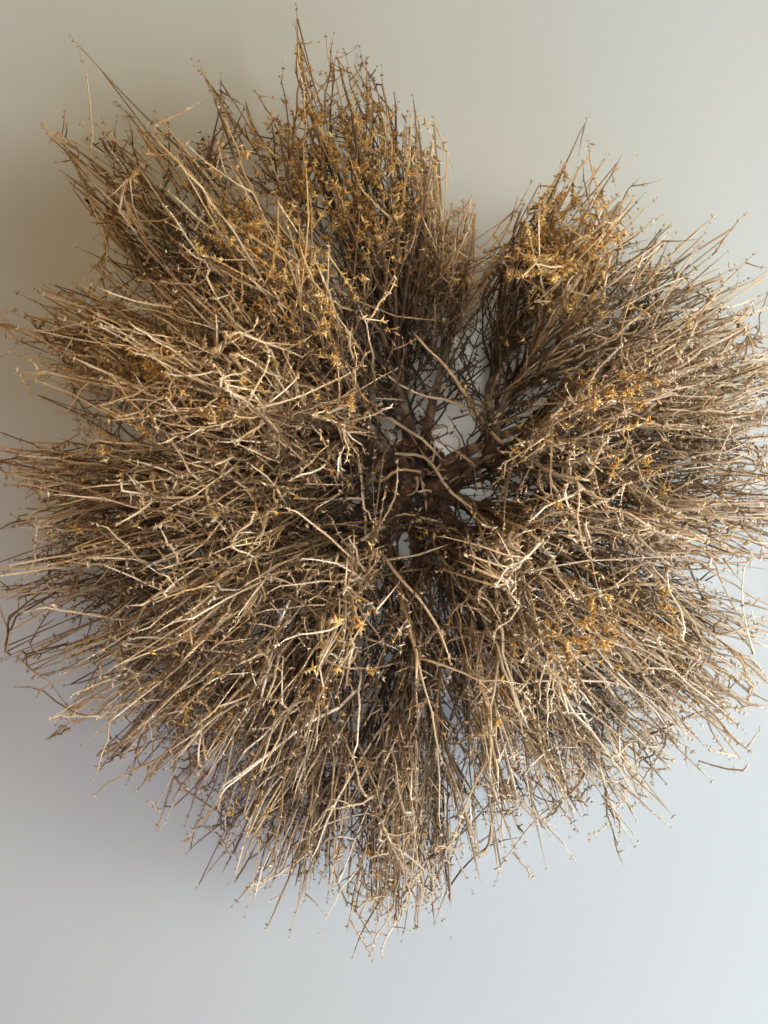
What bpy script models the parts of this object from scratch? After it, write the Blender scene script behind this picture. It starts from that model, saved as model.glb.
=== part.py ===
"""Tumbleweed: a dried, rounded shrub that broke off at its root crown and lies on the break.

A gnarled crown gives off main limbs. Each main limb forks once into a side limb, and every limb
ends in a spray of fine twigs. The crown and the limbs are modelled as wood. A spray is a plain
closed solid that holds the space of its twigs, from the end of its limb out to the twig tips.

Metres, +Z up. The origin is the middle of the flat break under the crown.
"""

import math
import random
from collections import namedtuple

import bmesh
import bpy
from mathutils import Vector, noise

# ---------------------------------------------------------------- driving dimensions

GAP = 0.0004  # clearance between two pieces that touch
SEAT_GAP = 0.0011  # the same where the end of a limb sits on round, lumpy wood

HEART = Vector((0.0, 0.0, 0.026))  # middle of the crown, which every limb leads away from
CROWN_RADII = Vector((0.025, 0.029, 0.030))
CROWN_LUMP = 0.0042  # height of the crown's large swellings
CROWN_LUMP_SCALE = 1.7  # how many of them there are from side to side
CROWN_LUMP_PLACE = Vector((2.4, 6.1, 0.3))  # where in the noise they are taken from
CROWN_KNOB = 0.0016  # height of its small knobs
CROWN_KNOB_SCALE = 5.3
CROWN_KNOB_PLACE = Vector((9.2, 5.0, 1.3))
# hollows rotted into the crown: direction, depth, width in radians
CROWN_HOLLOWS = (
    (Vector((0.10, 0.50, 0.86)), 0.0090, 0.34),
    (Vector((0.35, -0.30, 0.89)), 0.0110, 0.38),
    (Vector((-0.58, -0.27, 0.77)), 0.0050, 0.28),
)

DOME_HEIGHT = 0.262  # from the heart to the tips that stand straight up
BACK_DROP = 0.20  # the side towards +Y is lower than the dome by up to this share
# how far the lowest twigs reach from the heart, by bearing in degrees from +X
SPREAD = (
    (0, 0.258),
    (33, 0.276),
    (60, 0.236),
    (78, 0.215),
    (96, 0.312),
    (125, 0.328),
    (150, 0.292),
    (180, 0.272),
    (210, 0.288),
    (240, 0.300),
    (270, 0.298),
    (300, 0.276),
    (335, 0.254),
)

# Rings of sprays, each with the elevation of its tips and that of its limbs on the crown.
# No ring covers the bearings near 78 degrees, where the bush is split by a deep notch.
Ring = namedtuple("Ring", "name count first cover elevation root_elevation half_angle")
RINGS = (
    Ring("low", 12, 98.0, 314.0, 5.5, 8.0, 13.5),
    Ring("mid", 10, 106.0, 296.0, 32.5, 35.0, 13.5),
    Ring("high", 6, 146.0, 228.0, 59.0, 62.0, 14.0),
)
BEARING_PLAY = 2.0  # degrees by which a spray strays from its place in the ring
ELEVATION_PLAY = 1.5
ARCH = 7.0  # degrees by which a spray starts out steeper than it ends
CLEAR_ANGLE = 0.7  # degrees kept free between two sprays

SPRIG_BEARING = 77.0
SPRIG_ELEVATION = 10.0
SPRIG_ROOT_ELEVATION = 30.0
SPRIG_HALF_ANGLE = 4.0
SPRIG_REACH = 0.212

FORK_DISTANCE = 0.100  # from the heart to the end of a limb, where its spray begins
FORK_PLAY = 0.010
LIMB_BASE_RADIUS = 0.0047
SIDE_LIMB_BASE_RADIUS = 0.0032
LIMB_END_RADIUS = 0.0026
LIMB_TAPER_POWER = 0.8  # under 1, a limb loses more of its thickness near its root
LIMB_FLARE = 0.20  # share by which a limb is thicker where it leaves the wood under it
LIMB_FLARE_FADE = 9.0  # how quickly that flare fades along the limb
LIMB_PULL = 0.37  # share of its length over which a limb keeps the heading of either end
SPRAY_NECK_RADIUS = 0.0024
SIDE_FORK_AT = 0.42  # share of a main limb's length at which its side limb leaves
SEAT_SEARCH = 0.016  # how far along a limb its seat on the wood under it is looked for
SEAT_STEP = 0.0001
SEAT_HOLLOW = 0.0022  # depth of the dimple that clears the bulge of the wood under a limb
LIMB_RINGS = 10
LIMB_SIDES = 7
LIMB_BOW = 0.35  # most by which a limb sets out sideways, as a share of its way out
SPRAY_RINGS = 8
SPRAY_OPENING_POWER = 0.75  # under 1, a spray opens quickly after its neck
WIDEST_AT = 0.66  # share of a spray's length at which it is widest
ROUNDED_TO = 1.12  # share of its length at which its rounded far end would close
LAST_RING_AT = 0.975  # share of the full reach at which the round far end is drawn together
SPRAY_SIDES = 9
SEED = 7

DARK_WOOD = (0.085, 0.040, 0.022, 1.0)
LIMB_BARK = (0.190, 0.115, 0.062, 1.0)
STRAW = (0.420, 0.290, 0.155, 1.0)
DARK_WOOD_ROUGHNESS = 0.75
LIMB_BARK_ROUGHNESS = 0.70
STRAW_ROUGHNESS = 0.65

# ---------------------------------------------------------------- scene and materials


def clear_scene():
    for obj in list(bpy.data.objects):
        bpy.data.objects.remove(obj)


def wood_material(name, color, roughness):
    material = bpy.data.materials.new(name)
    material.use_nodes = True
    shader = material.node_tree.nodes["Principled BSDF"]
    shader.inputs["Base Color"].default_value = color
    shader.inputs["Roughness"].default_value = roughness
    shader.inputs["Metallic"].default_value = 0.0
    return material


def add_object(name, mesh_builder, material):
    """A smooth-shaded object of this name from a finished bmesh."""
    mesh = bpy.data.meshes.new(name)
    bmesh.ops.recalc_face_normals(mesh_builder, faces=mesh_builder.faces)
    mesh_builder.to_mesh(mesh)
    mesh_builder.free()
    mesh.materials.append(material)
    mesh.shade_smooth()
    obj = bpy.data.objects.new(name, mesh)
    bpy.context.scene.collection.objects.link(obj)
    return obj


# ---------------------------------------------------------------- directions and outline


def heading(bearing, elevation):
    """Unit vector at this bearing from +X and this elevation above the ground, in degrees."""
    turn = math.radians(bearing)
    rise = math.radians(elevation)
    flat = math.cos(rise)
    return Vector((flat * math.cos(turn), flat * math.sin(turn), math.sin(rise)))


def ground_reach(bearing):
    """Reach of the lowest twigs at a bearing, eased between the values of SPREAD."""
    bearing %= 360.0
    stops = SPREAD + ((SPREAD[0][0] + 360, SPREAD[0][1]),)
    for (start, near), (end, far) in zip(stops, stops[1:]):
        if start <= bearing <= end:
            share = (bearing - start) / (end - start)
            ease = 0.5 - 0.5 * math.cos(math.pi * share)
            return near + (far - near) * ease
    return stops[0][1]


def reach(bearing, elevation):
    """Distance from the heart to the twig tips, on an oval dome over the ground outline."""
    back = max(0.0, math.sin(math.radians(bearing)))
    height = DOME_HEIGHT * (1.0 - BACK_DROP * back)
    rise = math.radians(elevation)
    flat_part = math.cos(rise) / ground_reach(bearing)
    high_part = math.sin(rise) / height
    return 1.0 / math.hypot(flat_part, high_part)


# ---------------------------------------------------------------- lofted shapes


def ring_frames(path):
    """Two cross vectors for each point of a path, carried along it without twist."""
    tangents = []
    for i in range(len(path)):
        ahead = path[min(i + 1, len(path) - 1)]
        behind = path[max(i - 1, 0)]
        tangents.append((ahead - behind).normalized())
    side = tangents[0].orthogonal().normalized()
    frames = []
    for tangent in tangents:
        side = (side - tangent * side.dot(tangent)).normalized()
        frames.append((side, tangent.cross(side)))
    return frames


def round_ring(center, frame, radius, sides):
    side, up = frame
    ring = []
    for k in range(sides):
        turn = 2.0 * math.pi * k / sides
        ring.append(center + (side * math.cos(turn) + up * math.sin(turn)) * radius)
    return ring


def loft(rings, first_pole, last_pole):
    """A closed bmesh through rings of points, each end drawn together in a pole."""
    builder = bmesh.new()
    loops = []
    for ring in rings:
        loops.append([builder.verts.new(point) for point in ring])
    for lower, upper in zip(loops, loops[1:]):
        for k in range(len(lower)):
            after = (k + 1) % len(lower)
            builder.faces.new((lower[k], lower[after], upper[after], upper[k]))
    for loop, pole in ((loops[0], first_pole), (loops[-1], last_pole)):
        tip = builder.verts.new(pole)
        for k in range(len(loop)):
            builder.faces.new((loop[k], loop[(k + 1) % len(loop)], tip))
    return builder


def bezier(start, start_pull, end_pull, end, count):
    points = []
    for i in range(count):
        t = i / (count - 1)
        s = 1.0 - t
        points.append(
            start * s**3
            + start_pull * 3 * s * s * t
            + end_pull * 3 * s * t * t
            + end * t**3
        )
    return points


# ---------------------------------------------------------------- crown


def crown_radius(direction):
    """Distance from the heart to the crown's surface: an oval with lumps, knobs and hollows."""
    d = direction.normalized()
    oval = Vector((d.x / CROWN_RADII.x, d.y / CROWN_RADII.y, d.z / CROWN_RADII.z))
    radius = 1.0 / oval.length
    radius += CROWN_LUMP * noise.noise(d * CROWN_LUMP_SCALE + CROWN_LUMP_PLACE)
    radius += CROWN_KNOB * noise.noise(d * CROWN_KNOB_SCALE + CROWN_KNOB_PLACE)
    for axis, depth, width in CROWN_HOLLOWS:
        angle = d.angle(axis)
        radius -= depth * math.exp(-((angle / width) ** 2))
    return radius


def crown_clearance(point):
    away = point - HEART
    return away.length - crown_radius(away)


def build_crown(material):
    builder = bmesh.new()
    bmesh.ops.create_icosphere(builder, subdivisions=4, radius=1.0)
    for vert in builder.verts:
        direction = vert.co.normalized()
        vert.co = HEART + direction * crown_radius(direction)
    # the stem snapped off level with the ground
    cut = bmesh.ops.bisect_plane(
        builder,
        geom=builder.verts[:] + builder.edges[:] + builder.faces[:],
        plane_co=Vector((0.0, 0.0, 0.0)),
        plane_no=Vector((0.0, 0.0, -1.0)),
        clear_outer=True,
    )
    rim = [item for item in cut["geom_cut"] if isinstance(item, bmesh.types.BMEdge)]
    bmesh.ops.contextual_create(builder, geom=rim)
    return add_object("root_crown", builder, material)


# ---------------------------------------------------------------- limbs

Limb = namedtuple("Limb", "path radii")


def limb_clearance(limb, point):
    """Distance from a point to the surface of a limb."""
    nearest = math.inf
    for i in range(len(limb.path) - 1):
        start = limb.path[i]
        run = limb.path[i + 1] - start
        share = min(max((point - start).dot(run) / run.length_squared, 0.0), 1.0)
        radius = limb.radii[i] + (limb.radii[i + 1] - limb.radii[i]) * share
        nearest = min(nearest, (point - start - run * share).length - radius)
    return nearest


def seat(point, direction, clearance):
    """Slides a point back along a direction until it lies just above the wood under it."""
    place = point + direction * SEAT_SEARCH
    for _ in range(round(2 * SEAT_SEARCH / SEAT_STEP)):
        if clearance(place) <= SEAT_GAP:
            return place
        place = place - direction * SEAT_STEP
    return point


def build_limb(name, root, lead_out, end, lead_in, base_radius, clearance, material):
    """A tapered, bowed limb seated on the wood under it, up to where its spray begins."""
    pull = (end - root).length * LIMB_PULL
    path = bezier(root, root + lead_out * pull, end - lead_in * pull, end, LIMB_RINGS)
    radii = []
    for i in range(LIMB_RINGS):
        t = i / (LIMB_RINGS - 1)
        flare = 1.0 + LIMB_FLARE * math.exp(-t * LIMB_FLARE_FADE)
        taper = (LIMB_END_RADIUS - base_radius) * t**LIMB_TAPER_POWER
        radii.append((base_radius + taper) * flare)
    frames = ring_frames(path)
    rings = []
    for center, frame, radius in zip(path, frames, radii):
        rings.append(round_ring(center, frame, radius, LIMB_SIDES))
    rings[0] = [seat(point, lead_out, clearance) for point in rings[0]]
    hollow = root + lead_out * SEAT_HOLLOW
    add_object(name, loft(rings, hollow, path[-1]), material)
    return Limb(path, radii)


# ---------------------------------------------------------------- sprays

Spray = namedtuple("Spray", "name bearing elevation root_elevation limit")


def plan_sprays(rng):
    """Every spray's name and heading, ring by ring, each straying a little from its place."""
    sprays = []
    for ring in RINGS:
        step = ring.cover / max(ring.count - 1, 1)
        for k in range(ring.count):
            bearing = ring.first + step * k + rng.uniform(-BEARING_PLAY, BEARING_PLAY)
            elevation = ring.elevation + rng.uniform(-ELEVATION_PLAY, ELEVATION_PLAY)
            name = f"{ring.name}_{k + 1:02d}"
            sprays.append(
                Spray(name, bearing, elevation, ring.root_elevation, ring.half_angle)
            )
    return sprays


def half_angle(spray, others):
    """As wide as the spray may be without meeting its nearest neighbour."""
    own = heading(spray.bearing, spray.elevation)
    nearest = math.inf
    for other in others:
        if other is not spray:
            nearest = min(nearest, own.angle(heading(other.bearing, other.elevation)))
    return min(spray.limit, math.degrees(nearest) * 0.5 - CLEAR_ANGLE)


def spray_axis(spray, distance, full_reach):
    """Point on a spray's arched middle line, this far from the heart."""
    t = min(max((distance - FORK_DISTANCE) / (full_reach - FORK_DISTANCE), 0.0), 1.0)
    elevation = spray.elevation + ARCH * (1.0 - t) ** 2
    return HEART + heading(spray.bearing, elevation) * distance


def spray_path(spray, start_distance, full_reach):
    """The middle line from the neck to just short of the tips."""
    path = []
    for i in range(SPRAY_RINGS):
        t = i / (SPRAY_RINGS - 1)
        distance = start_distance + (full_reach * LAST_RING_AT - start_distance) * t
        path.append(spray_axis(spray, distance, full_reach))
    return path


def build_spray(spray, path, full_reach, width_angle, material):
    """A broom-shaped closed solid: slender at its limb, wide and round at the twig tips."""
    slope = math.tan(math.radians(width_angle))
    rings = []
    for i, (center, frame) in enumerate(zip(path, ring_frames(path))):
        t = i / (SPRAY_RINGS - 1)
        cone = (center - HEART).length * slope
        opened = min(1.0, t / WIDEST_AT) ** SPRAY_OPENING_POWER
        radius = SPRAY_NECK_RADIUS + (cone - SPRAY_NECK_RADIUS) * opened
        if t > WIDEST_AT:
            radius *= math.sqrt(1.0 - ((t - WIDEST_AT) / (ROUNDED_TO - WIDEST_AT)) ** 2)
        ring = round_ring(center, frame, radius, SPRAY_SIDES)
        for point in ring:
            point.z = max(point.z, 0.0)  # twigs press flat where they meet the ground
        rings.append(ring)
    far_pole = spray_axis(spray, full_reach, full_reach)
    add_object("spray_" + spray.name, loft(rings, path[0], far_pole), material)


# ---------------------------------------------------------------- the whole bush


def build_main_limb(spray, path, base_radius, bow, material):
    """A limb that leaves the crown and leads to a spray."""
    out = heading(spray.bearing, spray.root_elevation)
    root = seat(HEART + out * CROWN_RADII.x, out, crown_clearance)
    along = (path[1] - path[0]).normalized()
    end = path[0] - along * GAP
    sideways = heading(spray.bearing + 90.0, 0.0) * bow
    lead_out = (out + sideways).normalized()
    name = "limb_" + spray.name
    return build_limb(name, root, lead_out, end, along, base_radius, crown_clearance, material)


def build_side_limb(spray, path, main_limb, material):
    """A limb that forks off a main limb and leads to a spray."""
    fork = main_limb.path[round(SIDE_FORK_AT * (LIMB_RINGS - 1))]
    along = (path[1] - path[0]).normalized()
    end = path[0] - along * GAP
    toward = (end - fork).normalized()

    def clearance(point):
        return limb_clearance(main_limb, point)

    root = seat(fork + toward * LIMB_BASE_RADIUS, toward, clearance)
    name = "limb_" + spray.name
    build_limb(name, root, toward, end, along, SIDE_LIMB_BASE_RADIUS, clearance, material)


def build_branches(bark, straw, rng):
    """The limbs and their sprays, in pairs: a main limb, and the side limb that forks off it."""
    sprays = plan_sprays(rng)
    sprig = Spray("sprig", SPRIG_BEARING, SPRIG_ELEVATION, SPRIG_ROOT_ELEVATION, SPRIG_HALF_ANGLE)
    planned = sprays + [sprig]
    main_limb = None
    for place, spray in enumerate(planned):
        start_distance = FORK_DISTANCE + rng.uniform(-FORK_PLAY, FORK_PLAY)
        bow = rng.uniform(-LIMB_BOW, LIMB_BOW)
        full_reach = reach(spray.bearing, spray.elevation) if spray in sprays else SPRIG_REACH
        path = spray_path(spray, start_distance, full_reach)
        if place % 2 == 0:
            base_radius = LIMB_BASE_RADIUS if spray in sprays else SIDE_LIMB_BASE_RADIUS
            main_limb = build_main_limb(spray, path, base_radius, bow, bark)
        else:
            build_side_limb(spray, path, main_limb, bark)
        build_spray(spray, path, full_reach, half_angle(spray, planned), straw)


def main():
    clear_scene()
    dark_wood = wood_material("crown wood", DARK_WOOD, DARK_WOOD_ROUGHNESS)
    bark = wood_material("limb bark", LIMB_BARK, LIMB_BARK_ROUGHNESS)
    straw = wood_material("dry twigs", STRAW, STRAW_ROUGHNESS)
    build_crown(dark_wood)
    build_branches(bark, straw, random.Random(SEED))


main()
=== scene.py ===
# %% [markdown]
# # A tumbleweed
#
# A tumbleweed is a dried, rounded bush that snapped off at its root. It has a gnarled woody crown,
# stiff brown limbs that leave the crown and fork, and at the end of every limb a spray of fine
# straw-coloured twigs. The twigs carry a pair of small bracts at every node, and here and there the
# golden remains of flowers.
#
# The frame gives the place and size of the crown, of each limb and of the space that each spray
# fills. This script reads those solids and grows the real surface in them.

import math
from types import SimpleNamespace

import bpy
import numpy as np
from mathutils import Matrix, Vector, noise


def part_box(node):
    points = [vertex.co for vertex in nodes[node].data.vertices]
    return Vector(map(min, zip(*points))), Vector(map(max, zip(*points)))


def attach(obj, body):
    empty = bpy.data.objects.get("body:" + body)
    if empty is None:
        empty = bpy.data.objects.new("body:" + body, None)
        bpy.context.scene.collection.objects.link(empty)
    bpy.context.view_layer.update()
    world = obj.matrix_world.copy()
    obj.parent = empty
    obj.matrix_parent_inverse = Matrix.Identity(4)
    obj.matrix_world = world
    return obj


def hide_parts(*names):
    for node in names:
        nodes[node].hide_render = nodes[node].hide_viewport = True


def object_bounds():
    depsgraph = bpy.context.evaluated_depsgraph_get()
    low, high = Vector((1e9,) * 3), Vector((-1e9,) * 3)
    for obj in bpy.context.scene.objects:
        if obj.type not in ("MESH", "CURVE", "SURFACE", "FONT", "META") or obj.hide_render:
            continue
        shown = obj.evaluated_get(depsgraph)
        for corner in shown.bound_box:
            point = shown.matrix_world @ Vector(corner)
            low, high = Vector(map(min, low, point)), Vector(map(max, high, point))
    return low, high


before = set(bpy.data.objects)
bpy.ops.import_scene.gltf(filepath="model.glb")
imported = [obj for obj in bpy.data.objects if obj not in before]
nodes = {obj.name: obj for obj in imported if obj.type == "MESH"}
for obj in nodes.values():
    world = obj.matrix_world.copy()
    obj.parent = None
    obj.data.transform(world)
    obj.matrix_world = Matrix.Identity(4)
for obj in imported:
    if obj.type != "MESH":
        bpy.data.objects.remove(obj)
cad_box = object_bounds()
print("the frame holds", len(nodes), "solids in the box", cad_box)

# %% [markdown]
# ## Reading the solids
#
# Every limb leads away from the heart of the crown, and so does every spray. So the distance from
# that one point tells how far along a limb or a spray each corner of its solid lies, and the
# averages of the corners at each distance are its middle line.

# %% Corner points and middle lines of the solids
HEART_SHARE = 0.46  # the limbs leave the crown a little under half way up
HEART = np.array((0.0, 0.0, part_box("root_crown")[1][2] * HEART_SHARE))


def corner_points(name):
    """The corners of a frame solid, each once."""
    found = np.array([v.co for v in nodes[name].data.vertices])
    return np.unique(found.round(6), axis=0)


def spine_of(name, count):
    """Points along the middle of a limb or a spray, from its root to its tip."""
    corners = corner_points(name)
    away = np.linalg.norm(corners - HEART, axis=1)
    share = (away - away.min()) / np.ptp(away)
    weight = np.exp(-(((share[:, None] - np.linspace(0.0, 1.0, count)) * count) ** 2))
    return (weight[..., None] * corners[:, None]).sum(0) / weight.sum(0)[:, None]


limb_names = sorted(n for n in nodes if n.startswith("limb_"))
spray_names = sorted(n for n in nodes if n.startswith("spray_"))
print(len(limb_names), "limbs and", len(spray_names), "sprays round the heart at", HEART.round(4))

# %% [markdown]
# ## Camera, floor and light
#
# The bush lies on its break and is looked at from straight above, with a moderately wide lens from
# close by, so the twigs that stand up towards the camera look larger than those on the floor.
#
# Three soft square lamps light it. The strongest is a window to the right and a bluish one, the
# sky, stands to the lower right, so the soft shadow falls to the upper left. A weak warm lamp on
# the other side softens that shadow. A last one, with a narrow weak beam, reaches down through the
# twigs to the crown, which would be lost in the dark.

# %% Camera and floor
CAMERA_HEIGHT = 0.760
CAMERA_OFF = (-0.022, -0.023)  # the crown isn't quite in the middle of the view
FRAME_HEIGHT = 0.730  # length of floor from the top to the bottom of the view
SENSOR = 36.0
FLOOR_SIDE = 40.0
FLOOR_GAP = 0.0004  # the floor lies this far under the bush

scene = bpy.context.scene
camera_data = bpy.data.cameras.new("camera")
camera_data.sensor_width = SENSOR
camera_data.lens = SENSOR * CAMERA_HEIGHT / FRAME_HEIGHT
camera = bpy.data.objects.new("camera", camera_data)
camera.location = (*CAMERA_OFF, CAMERA_HEIGHT)
scene.collection.objects.link(camera)
scene.camera = camera
scene.view_settings.view_transform = "Standard"

bpy.ops.object.select_all(action="DESELECT")
bpy.ops.mesh.primitive_plane_add(size=FLOOR_SIDE, location=(0.0, 0.0, -FLOOR_GAP))
floor = bpy.context.object
floor.name = "floor"
print("lens", round(camera_data.lens, 1), "mm at", CAMERA_HEIGHT, "m")

# %% Lights
LAMPS = (
    # name, place, side of the square lamp, spread of its beam in degrees, power in watts, colour
    ("window", (1.15, -0.08, 0.95), 0.6, 180.0, 20.3, (0.89, 1.0, 0.95)),
    ("sky", (0.45, -0.95, 0.95), 0.8, 180.0, 12.5, (0.56, 0.70, 1.0)),
    ("room", (-0.55, 0.75, 1.20), 0.8, 180.0, 3.0, (1.0, 0.66, 0.16)),
    ("crown beam", (0.03, 0.0, 1.30), 0.15, 26.0, 0.22, (1.0, 0.94, 0.85)),
)
for name, place, side, spread, power, color in LAMPS:
    lamp_data = bpy.data.lights.new(name, "AREA")
    lamp_data.size = side
    lamp_data.spread = math.radians(spread)
    lamp_data.energy = power
    lamp_data.color = color
    lamp = bpy.data.objects.new(name, lamp_data)
    lamp.location = place
    lamp.rotation_euler = Vector(place).to_track_quat("Z", "Y").to_euler()
    scene.collection.objects.link(lamp)

print(len(LAMPS), "lamps")

# %% [markdown]
# ## Shader maths as plain expressions
#
# A `Socket` wraps one output of a node. Adding, multiplying or subtracting sockets adds the Math
# nodes that do it, so a pattern reads as a formula. Every other node comes from `node`, which
# takes the node's type, its settings and what its inputs are linked or set to.


# %% The socket wrapper
class Socket:
    """One output of a shader node, with the arithmetic of numbers."""

    def __init__(self, tree, output):
        self.tree = tree
        self.output = output

    def maths(self, operation, *values):
        return node(self.tree, "ShaderNodeMath", {"operation": operation}, dict(enumerate(values)))

    def __add__(self, other):
        return self.maths("ADD", self, other)

    def __radd__(self, other):
        return self.maths("ADD", other, self)

    def __sub__(self, other):
        return self.maths("SUBTRACT", self, other)

    def __rsub__(self, other):
        return self.maths("SUBTRACT", other, self)

    def __mul__(self, other):
        return self.maths("MULTIPLY", self, other)

    def __rmul__(self, other):
        return self.maths("MULTIPLY", other, self)

    def clamped(self):
        return self.maths("MINIMUM", self.maths("MAXIMUM", self, 0.0), 1.0)


def node(tree, kind, settings, links, output=0):
    """Adds a node, sets it, links or fills its inputs, and returns one output as a Socket."""
    made = tree.nodes.new(kind)
    for key, value in settings.items():
        if key == "stops":
            ramp = made.color_ramp.elements
            while len(ramp) < len(value):
                ramp.new(0.5)
            for stop, (place, color) in zip(ramp, value):
                stop.position = place
                stop.color = (*color, 1.0)
        else:
            setattr(made, key, value)
    for key, value in links.items():
        if isinstance(value, Socket):
            tree.links.new(value.output, made.inputs[key])
        else:
            made.inputs[key].default_value = value
    return Socket(tree, made.outputs[output])


def ramp_of(tree, factor, stops):
    """The colour at a place on a ramp with these stops."""
    return node(tree, "ShaderNodeValToRGB", {"stops": stops}, {0: factor})


def mixed(tree, factor, first, second):
    """A blend of two colours by a factor. The colours are the Mix node's inputs 6 and 7."""
    return node(tree, "ShaderNodeMix", {"data_type": "RGBA"}, {0: factor, 6: first, 7: second}, 2)


def new_material(name, roughness):
    """A Principled material. Returns it with its tree and the inputs of its shader."""
    material = bpy.data.materials.new(name)
    material.use_nodes = True
    tree = material.node_tree
    shader = tree.nodes["Principled BSDF"]
    shader.inputs["Roughness"].default_value = roughness
    return material, tree, shader.inputs


def plug(tree, socket, target):
    tree.links.new(socket.output, target)


print("the socket wrapper is ready")

# %% [markdown]
# ## The room
#
# Light also comes from the walls of the room. It is weak and warm, and reaches the twigs from all
# sides, so that no shadow in the bush is quite black. Seen past the floor, the room is pale.

# %% The room around the bush
ROOM_GLOW = (0.30, 0.225, 0.144, 1.0)  # weak warm light from all sides fills the shadows
BACKDROP = (0.50, 0.49, 0.46, 1.0)  # the room itself, seen behind the floor, looks paler

world = bpy.data.worlds.new("pale room")
world.use_nodes = True
tree = world.node_tree
seen = node(tree, "ShaderNodeLightPath", {}, {}, "Is Camera Ray")
plug(tree, mixed(tree, seen, ROOM_GLOW, BACKDROP), tree.nodes["Background"].inputs["Color"])
scene.world = world
print("a warm, pale room")

# %% [markdown]
# ## Finishes
#
# The twigs' finish reads a small chart on every twig. Across the chart runs the twig's tone, from
# greyish cream to golden brown, partly its own and partly painted tint of the lamps, and up the
# chart its age and painted shade, from the dark wood near the heart, partly dirt and partly painted
# shade, to the bleached tips. Many thousands of twigs can then share one material and still all
# differ.

# %% Twig and flower finishes
CHART = "OFBake"  # the chart's name
# the ramps' dark low ends colour the twigs near the heart: partly dirt, partly painted shade
PALE_STOPS = (
    (0.00, (0.018, 0.010, 0.005)),
    (0.22, (0.052, 0.030, 0.014)),
    (0.42, (0.200, 0.132, 0.076)),
    (0.60, (0.520, 0.385, 0.252)),
    (0.80, (0.900, 0.735, 0.560)),
)
WARM_STOPS = (
    (0.00, (0.016, 0.008, 0.003)),
    (0.22, (0.048, 0.022, 0.006)),
    (0.42, (0.180, 0.086, 0.022)),
    (0.60, (0.400, 0.212, 0.062)),
    (0.80, (0.640, 0.375, 0.130)),
)
GOLD_STOPS = (
    (0.0, (0.300, 0.135, 0.028)),
    (0.5, (0.560, 0.300, 0.070)),
    (1.0, (0.820, 0.540, 0.190)),
)


def chart_axes(tree):
    """The two axes of the twigs' chart: tone, and age with painted shade."""
    chart = node(tree, "ShaderNodeUVMap", {"uv_map": CHART}, {})
    tone = node(tree, "ShaderNodeSeparateXYZ", {}, {0: chart}, "X")
    age_and_shade = node(tree, "ShaderNodeSeparateXYZ", {}, {0: chart}, "Y")
    return chart, tone, age_and_shade


GRAIN_SCALE = 80.0
GRAIN_STRENGTH = 0.5  # how far the grain shifts a twig's tone

twig_material, tree, inputs = new_material("dry twigs", 0.60)
chart, tone, age_and_shade = chart_axes(tree)
links = {"Vector": chart, "Scale": GRAIN_SCALE, "Detail": 2.0}
grain = node(tree, "ShaderNodeTexNoise", {}, links)
blend = (tone + (grain - 0.5) * GRAIN_STRENGTH).clamped()
color = mixed(tree, blend, ramp_of(tree, age_and_shade, PALE_STOPS), ramp_of(tree, age_and_shade, WARM_STOPS))
plug(tree, color, inputs["Base Color"])

flower_material, tree, inputs = new_material("withered flowers", 0.75)
chart, tone, age_and_shade = chart_axes(tree)
plug(tree, ramp_of(tree, tone, GOLD_STOPS), inputs["Base Color"])
print("twig and flower finishes")

# %% Bark and crown wood finishes
BARK_STOPS = (
    (0.34, (0.030, 0.017, 0.010)),
    (0.50, (0.120, 0.074, 0.042)),
    (0.66, (0.330, 0.235, 0.150)),
)
CROWN_STOPS = (
    (0.28, (0.003, 0.001, 0.001)),
    (0.45, (0.038, 0.016, 0.008)),
    (0.60, (0.150, 0.068, 0.034)),
    (0.76, (0.420, 0.270, 0.170)),
)
PATCH_SCALE = 90.0
PATCH_SHARE = 0.7  # the rest of the pattern is the fine marks
# how much painted shade darkens the crown's hollows and creases
SUNK_DARKENING = 0.55
CROWN_LIGHTENING = 0.12


def weathered(tree, inputs, patch_detail, fine_scale, fine_detail, strength, depth):
    """The pattern of large and fine marks in old wood. The fine ones also stand out from it."""
    place = node(tree, "ShaderNodeTexCoord", {}, {}, "Object")
    large = {"Vector": place, "Scale": PATCH_SCALE, "Detail": patch_detail}
    small = {"Vector": place, "Scale": fine_scale, "Detail": fine_detail}
    patches = node(tree, "ShaderNodeTexNoise", {}, large)
    fine = node(tree, "ShaderNodeTexNoise", {}, small)
    bump = {"Height": fine, "Strength": strength, "Distance": depth}
    plug(tree, node(tree, "ShaderNodeBump", {}, bump), inputs["Normal"])
    return patches * PATCH_SHARE + fine * (1.0 - PATCH_SHARE)


def attribute_of(tree, name):
    """A value that the mesh holds at each of its vertices."""
    return node(tree, "ShaderNodeAttribute", {"attribute_name": name}, {}, "Fac")


bark_material, tree, inputs = new_material("limb bark", 0.7)
pattern = weathered(tree, inputs, 5.0, 620.0, 3.0, 0.7, 0.0008)
bark_color = ramp_of(tree, pattern, BARK_STOPS)
root_color = ramp_of(tree, pattern, CROWN_STOPS)
color = mixed(tree, attribute_of(tree, "root"), bark_color, root_color)
plug(tree, color, inputs["Base Color"])

crown_material, tree, inputs = new_material("crown wood", 0.72)
pattern = weathered(tree, inputs, 6.0, 480.0, 4.0, 0.9, 0.0012)
# painted shade: the crown is darker in its hollows and creases
shade = attribute_of(tree, "sunk") * SUNK_DARKENING
light_part = (pattern - shade + CROWN_LIGHTENING).clamped()
plug(tree, ramp_of(tree, light_part, CROWN_STOPS), inputs["Base Color"])
print("bark and crown wood finishes")

# %% [markdown]
# The floor is pale paint near the bush. Further away it turns into the glow of the backdrop, so
# that floor and room meet with no edge.

# %% Floor finish
FLOOR_COLOR = (0.55, 0.55, 0.54, 1.0)
FLOOR_FADE = (0.75, 1.6)  # distances in metres between which the floor turns into the backdrop
BLACK = (0.0, 0.0, 0.0, 1.0)

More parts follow.
